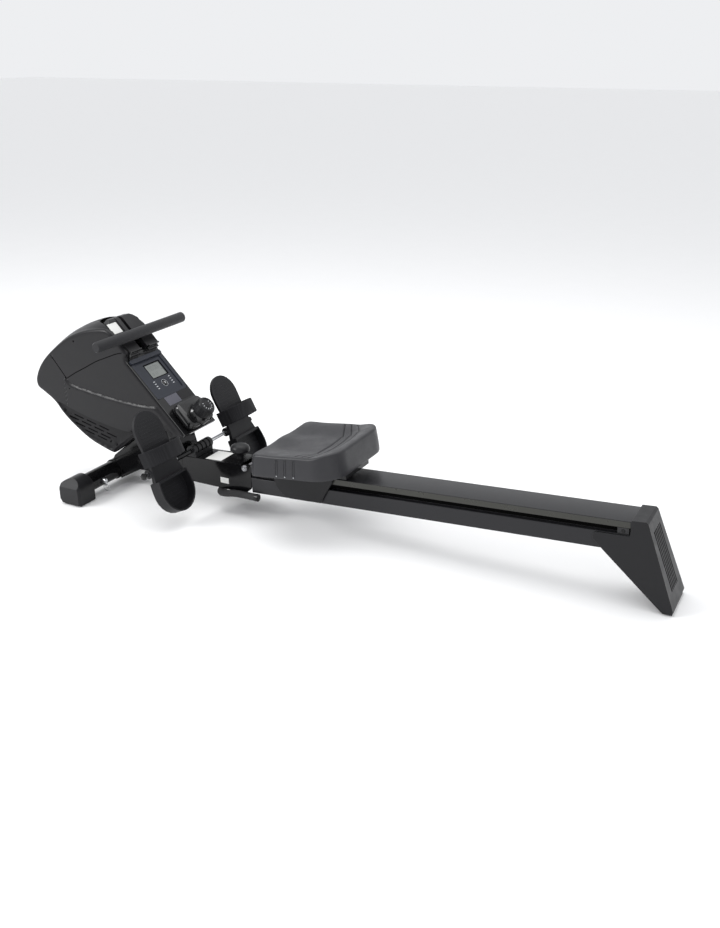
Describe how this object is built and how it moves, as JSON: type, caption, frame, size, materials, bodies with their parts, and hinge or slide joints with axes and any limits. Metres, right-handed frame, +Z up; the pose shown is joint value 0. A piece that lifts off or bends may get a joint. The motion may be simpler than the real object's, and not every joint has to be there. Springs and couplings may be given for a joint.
{
  "type": "rowing machine",
  "caption": "Folding magnetic rowing machine: drive housing with console and pull handle, pivoting foot pedals, and a seat that rolls on an inclined rail.",
  "frame": {"origin": "on the floor below the middle of the machine's length and width", "axes": "+X from the drive housing to the user's end of the rail, +Y to the user's right, +Z up"},
  "size_m": [2.062, 0.562, 0.548],
  "materials": {
    "shell_plastic": "fine moulded grain, charcoal",
    "gloss_plastic": "black, glossy",
    "moulded_plastic": "dark grey, satin",
    "pedal_plastic": "dark grey, fine ribs",
    "console_plastic": "blue-black, satin",
    "display": "grey-green display, smooth",
    "black_paint": "gloss black powder coat",
    "rail_paint": "satin grey",
    "zinc_steel": "bright zinc",
    "bare_iron": "turned, oiled",
    "black_rubber": "matt",
    "grip_foam": "matt closed-cell foam",
    "seat_skin": "grained self-skinned foam, charcoal",
    "webbing": "woven nylon, black"
  },
  "bodies": {
    "base": {"front_stabilizer_tube": "black_paint", "stabilizer_cap_left": "moulded_plastic", "stabilizer_cap_right": "moulded_plastic", "stabilizer_saddle": "black_paint", "front_post": "black_paint", "main_beam": "black_paint", "stand_bar": "black_rubber", "mast_plate_left": "bare_iron", "mast_plate_right": "bare_iron", "housing_shell_left": "shell_plastic", "housing_shell_right": "shell_plastic", "housing_spine": "shell_plastic", "bridge_block": "shell_plastic", "handle_tray": "gloss_plastic", "console_case": "console_plastic", "console_display": "display", "panel_carrier": "gloss_plastic", "tension_cover": "gloss_plastic", "flywheel_axle": "zinc_steel", "recoil_spring_case": "bare_iron", "drum_axle": "zinc_steel", "drive_belt": "black_rubber", "strap_inner": "webbing", "pedal_axle": "zinc_steel", "axle_sleeve": "moulded_plastic", "axle_nut_left": "black_paint", "axle_nut_right": "black_paint", "fold_pivot_bolt": "zinc_steel"},
    "rail": {"rail": "rail_paint", "rail_hinge_bracket": "black_paint", "rail_front_stop": "black_rubber", "rail_rear_stop": "black_rubber", "rear_foot": "moulded_plastic", "rear_foot_pad": "black_rubber"},
    "seat": {"seat_cushion": "seat_skin", "seat_carriage": "black_paint", "seat_guard_left": "shell_plastic", "seat_guard_right": "shell_plastic"},
    "roller_front_left": {"seat_roller_front_left": "black_rubber"},
    "roller_front_right": {"seat_roller_front_right": "black_rubber"},
    "roller_rear_left": {"seat_roller_rear_left": "black_rubber"},
    "roller_rear_right": {"seat_roller_rear_right": "black_rubber"},
    "handle": {"handle_tube": "black_paint", "handle_foam": "grip_foam", "handle_eye": "zinc_steel", "strap_outer": "webbing"},
    "drum": {"drum_pulley": "moulded_plastic", "strap_drum": "moulded_plastic"},
    "strap_roller": {"strap_roller": "moulded_plastic"},
    "flywheel": {"flywheel": "bare_iron"},
    "magnet": {"magnet_shoe": "bare_iron"},
    "tension_knob": {"tension_knob": "moulded_plastic"},
    "console_button": {"console_button": "gloss_plastic"},
    "pedal_left": {"pedal_left": "pedal_plastic", "pedal_strap_left": "webbing"},
    "pedal_right": {"pedal_right": "pedal_plastic", "pedal_strap_right": "webbing"},
    "fold_knob": {"fold_knob": "moulded_plastic"},
    "lock_pin": {"lock_pin": "zinc_steel"},
    "lock_pin_ring": {"lock_pin_ring": "zinc_steel"}
  },
  "joints": [
    {"name": "rail_fold", "type": "hinge", "parent": "base", "child": "rail", "pos_m": [-0.256, 0, 0.148], "axis": [0, -1, 0], "range_deg": [0, 80]},
    {"name": "seat_slide", "type": "slide", "parent": "rail", "child": "seat", "axis": [0.9982, 0, 0.0599], "range_m": [0, 0.75]},
    {"name": "roller_front_left_spin", "type": "hinge", "parent": "seat", "child": "roller_front_left", "pos_m": [-0.08617, 0, 0.14088], "axis": [0, 1, 0], "range_deg": [0, 5700]},
    {"name": "roller_front_right_spin", "type": "hinge", "parent": "seat", "child": "roller_front_right", "pos_m": [-0.08617, 0, 0.14088], "axis": [0, 1, 0], "range_deg": [0, 5700]},
    {"name": "roller_rear_left_spin", "type": "hinge", "parent": "seat", "child": "roller_rear_left", "pos_m": [0.01366, 0, 0.14687], "axis": [0, 1, 0], "range_deg": [0, 5700]},
    {"name": "roller_rear_right_spin", "type": "hinge", "parent": "seat", "child": "roller_rear_right", "pos_m": [0.01366, 0, 0.14687], "axis": [0, 1, 0], "range_deg": [0, 5700]},
    {"name": "handle_pull", "type": "slide", "parent": "base", "child": "handle", "axis": [0.9962, 0, 0.0867], "range_m": [0, 0.8], "stiffness_N_per_m": 12, "springref_m": -0.6},
    {"name": "drum_spin", "type": "hinge", "parent": "base", "child": "drum", "pos_m": [-0.69, 0, 0.262], "axis": [0, 1, 0], "range_deg": [-1520, 5]},
    {"name": "strap_roller_spin", "type": "hinge", "parent": "base", "child": "strap_roller", "pos_m": [-0.694, 0, 0.47], "axis": [0, 1, 0], "range_deg": [-5, 5400]},
    {"name": "flywheel_spin", "type": "hinge", "parent": "base", "child": "flywheel", "pos_m": [-0.845, 0, 0.335], "axis": [0, 1, 0], "continuous": true},
    {"name": "tension_turn", "type": "hinge", "parent": "base", "child": "tension_knob", "pos_m": [-0.42912, 0, 0.29698], "axis": [0.7071, 0, 0.7071], "range_deg": [0, 270]},
    {"name": "magnet_swing", "type": "hinge", "parent": "base", "child": "magnet", "pos_m": [-0.71877, 0, 0.37359], "axis": [0, 1, 0], "range_deg": [-1.6, 0.1]},
    {"name": "button_press", "type": "slide", "parent": "base", "child": "console_button", "axis": [-0.7071, 0, -0.7071], "range_m": [0, 0.0015], "stiffness_N_per_m": 250, "springref_m": -0.001},
    {"name": "pedal_left_tilt", "type": "hinge", "parent": "base", "child": "pedal_left", "pos_m": [-0.452, -0.198, 0.168], "axis": [0, 1, 0], "range_deg": [-25, 20]},
    {"name": "pedal_right_tilt", "type": "hinge", "parent": "base", "child": "pedal_right", "pos_m": [-0.452, 0.198, 0.168], "axis": [0, 1, 0], "range_deg": [-25, 20]},
    {"name": "fold_knob_turn", "type": "hinge", "parent": "base", "child": "fold_knob", "pos_m": [-0.302, 0, 0.18], "axis": [0, 0, 1], "continuous": true},
    {"name": "lock_pin_pull", "type": "slide", "parent": "base", "child": "lock_pin", "axis": [1, 0, 0], "range_m": [0, 0.016]},
    {"name": "lock_ring_swing", "type": "hinge", "parent": "lock_pin", "child": "lock_pin_ring", "pos_m": [-0.7288, -0.133, 0.034], "axis": [1, 0, 0], "range_deg": [-60, 60]}
  ],
  "couplings": [
    {"joint": "roller_front_left_spin", "follows": "seat_slide", "rad_per_m": 119.05},
    {"joint": "roller_front_right_spin", "follows": "seat_slide", "rad_per_m": 119.05},
    {"joint": "roller_rear_left_spin", "follows": "seat_slide", "rad_per_m": 119.05},
    {"joint": "roller_rear_right_spin", "follows": "seat_slide", "rad_per_m": 119.05},
    {"joint": "drum_spin", "follows": "handle_pull", "rad_per_m": -32.258},
    {"joint": "strap_roller_spin", "follows": "handle_pull", "rad_per_m": 113.64},
    {"joint": "magnet_swing", "follows": "tension_turn", "ratio": -0.005926}
  ]
}
